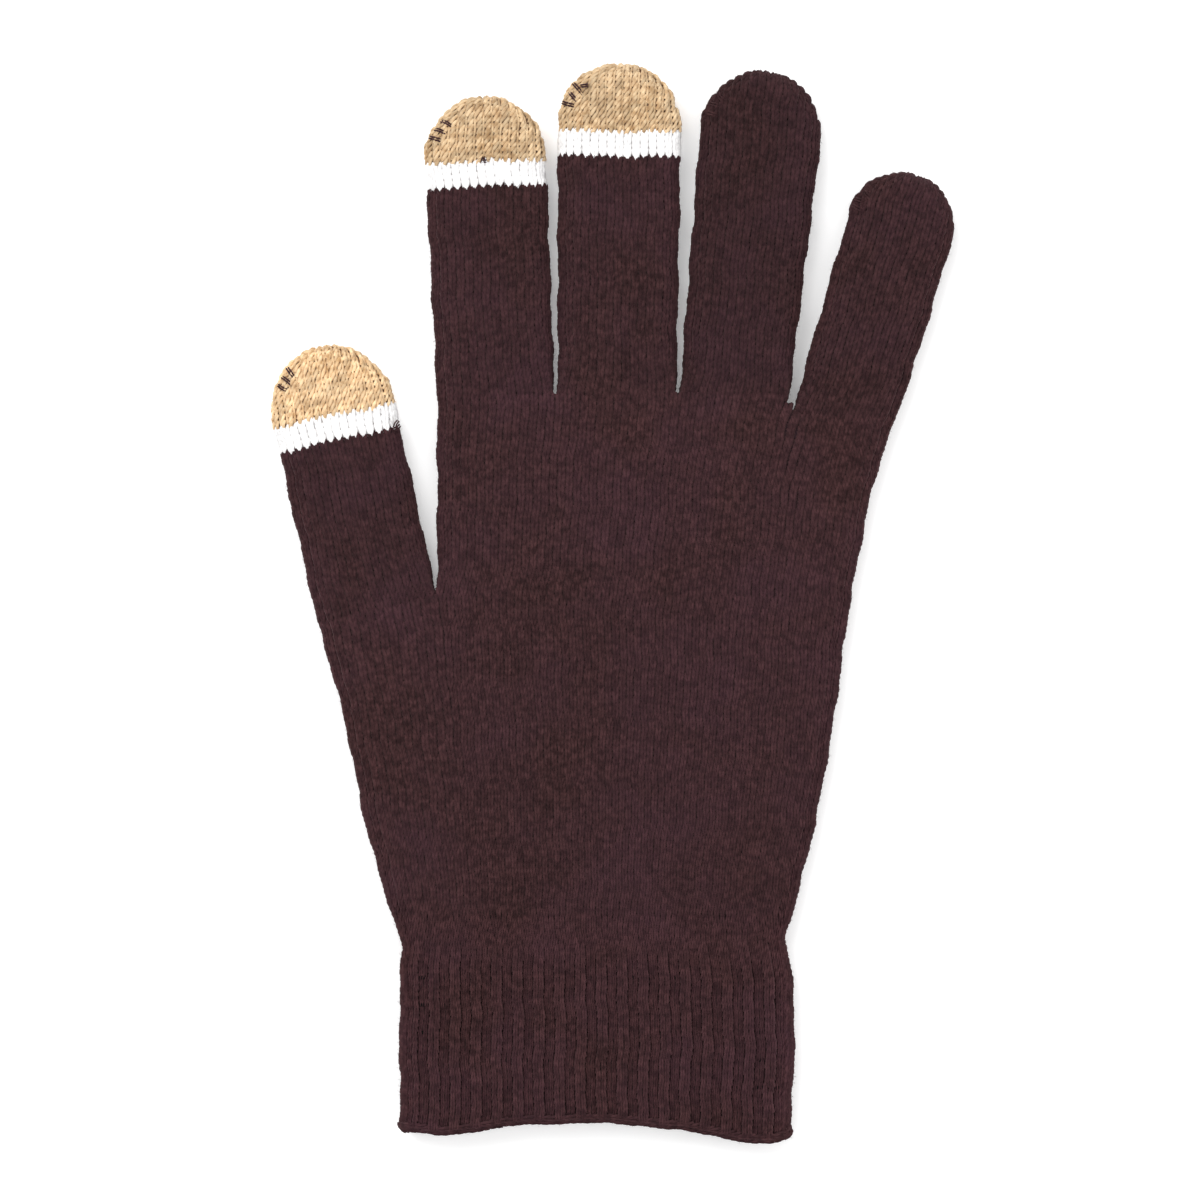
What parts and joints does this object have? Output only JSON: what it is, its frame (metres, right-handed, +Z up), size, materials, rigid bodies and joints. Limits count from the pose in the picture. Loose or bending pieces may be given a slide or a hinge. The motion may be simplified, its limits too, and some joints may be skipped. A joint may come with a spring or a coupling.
{
  "type": "touchscreen glove",
  "caption": "Seamless knitted stretch glove with a ribbed cuff and conductive fingertips on the thumb, index and middle fingers, lying flat with its palm up.",
  "frame": {"origin": "middle of the underside of the flat glove, on the surface that it lies on", "axes": "+Y from the cuff to the fingertips, -X towards the thumb, +Z up out of the palm"},
  "size_m": [0.1397, 0.22, 0.0094],
  "materials": {
    "dark_yarn": "soft knitted dark maroon-brown yarn, matt",
    "white_yarn": "soft knitted white yarn, matt",
    "conductive_yarn": "knitted beige conductive yarn, slight sheen",
    "closing_thread": "twisted dark brown thread",
    "elastic_thread": "covered elastic thread"
  },
  "bodies": {
    "palm": {"palm_tube": "dark_yarn"},
    "cuff": {"cuff_rib": "dark_yarn", "cuff_bound_edge": "dark_yarn", "cuff_elastic_threads": "elastic_thread"},
    "index_lower": {"index_lower_tube": "dark_yarn"},
    "index_middle": {"index_middle_tube": "dark_yarn"},
    "index_tip": {"index_white_band": "white_yarn", "index_conductive_cap": "conductive_yarn", "index_yarn_tail": "closing_thread", "index_closing_stitches": "closing_thread"},
    "middle_lower": {"middle_lower_tube": "dark_yarn"},
    "middle_middle": {"middle_middle_tube": "dark_yarn"},
    "middle_tip": {"middle_white_band": "white_yarn", "middle_conductive_cap": "conductive_yarn", "middle_yarn_tail": "closing_thread", "middle_closing_stitches": "closing_thread"},
    "ring_lower": {"ring_lower_tube": "dark_yarn"},
    "ring_middle": {"ring_middle_tube": "dark_yarn"},
    "ring_tip": {"ring_closed_tip": "dark_yarn", "ring_closing_stitches": "closing_thread"},
    "little_lower": {"little_lower_tube": "dark_yarn"},
    "little_middle": {"little_middle_tube": "dark_yarn"},
    "little_tip": {"little_closed_tip": "dark_yarn", "little_closing_stitches": "closing_thread"},
    "thumb_lower": {"thumb_lower_tube": "dark_yarn"},
    "thumb_tip": {"thumb_upper_tube": "dark_yarn", "thumb_white_band": "white_yarn", "thumb_conductive_cap": "conductive_yarn", "thumb_yarn_tail": "closing_thread", "thumb_closing_stitches": "closing_thread"}
  },
  "joints": [
    {"name": "wrist_fold", "type": "hinge", "parent": "palm", "child": "cuff", "pos_m": [-0.0037, -0.072, 0.0084], "axis": [-1, 0, 0], "range_deg": [0, 80]},
    {"name": "index_root_fold", "type": "hinge", "parent": "palm", "child": "index_lower", "pos_m": [-0.0236, 0.042, 0.0084], "axis": [1, 0, 0], "range_deg": [0, 90]},
    {"name": "index_middle_fold", "type": "hinge", "parent": "index_lower", "child": "index_middle", "pos_m": [-0.02466, 0.06628, 0.0084], "axis": [0.999, 0.0436, 0], "range_deg": [0, 100]},
    {"name": "index_tip_fold", "type": "hinge", "parent": "index_middle", "child": "index_tip", "pos_m": [-0.02545, 0.08426, 0.0084], "axis": [0.999, 0.0436, 0], "range_deg": [0, 70]},
    {"name": "middle_root_fold", "type": "hinge", "parent": "palm", "child": "middle_lower", "pos_m": [0.0011, 0.042, 0.0084], "axis": [1, 0, 0], "range_deg": [0, 90]},
    {"name": "middle_middle_fold", "type": "hinge", "parent": "middle_lower", "child": "middle_middle", "pos_m": [0.00134, 0.07, 0.0084], "axis": [1, -0.0087, 0], "range_deg": [0, 100]},
    {"name": "middle_tip_fold", "type": "hinge", "parent": "middle_middle", "child": "middle_tip", "pos_m": [0.00152, 0.0905, 0.0084], "axis": [1, -0.0087, 0], "range_deg": [0, 70]},
    {"name": "ring_root_fold", "type": "hinge", "parent": "palm", "child": "ring_lower", "pos_m": [0.02495, 0.0412, 0.0084], "axis": [1, 0, 0], "range_deg": [0, 90]},
    {"name": "ring_middle_fold", "type": "hinge", "parent": "ring_lower", "child": "ring_middle", "pos_m": [0.02763, 0.06807, 0.0084], "axis": [0.9951, -0.0993, 0], "range_deg": [0, 100]},
    {"name": "ring_tip_fold", "type": "hinge", "parent": "ring_middle", "child": "ring_tip", "pos_m": [0.02967, 0.08847, 0.0084], "axis": [0.9951, -0.0993, 0], "range_deg": [0, 70]},
    {"name": "little_root_fold", "type": "hinge", "parent": "palm", "child": "little_lower", "pos_m": [0.0473, 0.0372, 0.0084], "axis": [1, 0, 0], "range_deg": [0, 90]},
    {"name": "little_middle_fold", "type": "hinge", "parent": "little_lower", "child": "little_middle", "pos_m": [0.05321, 0.05714, 0.0084], "axis": [0.9588, -0.284, 0], "range_deg": [0, 100]},
    {"name": "little_tip_fold", "type": "hinge", "parent": "little_middle", "child": "little_tip", "pos_m": [0.05747, 0.07153, 0.0084], "axis": [0.9588, -0.284, 0], "range_deg": [0, 70]},
    {"name": "thumb_root_fold", "type": "hinge", "parent": "palm", "child": "thumb_lower", "pos_m": [-0.04781, -0.00148, 0.0084], "axis": [0.9767, 0.2147, 0], "range_deg": [0, 60]},
    {"name": "thumb_tip_fold", "type": "hinge", "parent": "thumb_lower", "child": "thumb_tip", "pos_m": [-0.05404, 0.02684, 0.0084], "axis": [0.9767, 0.2147, 0], "range_deg": [0, 80]}
  ]
}
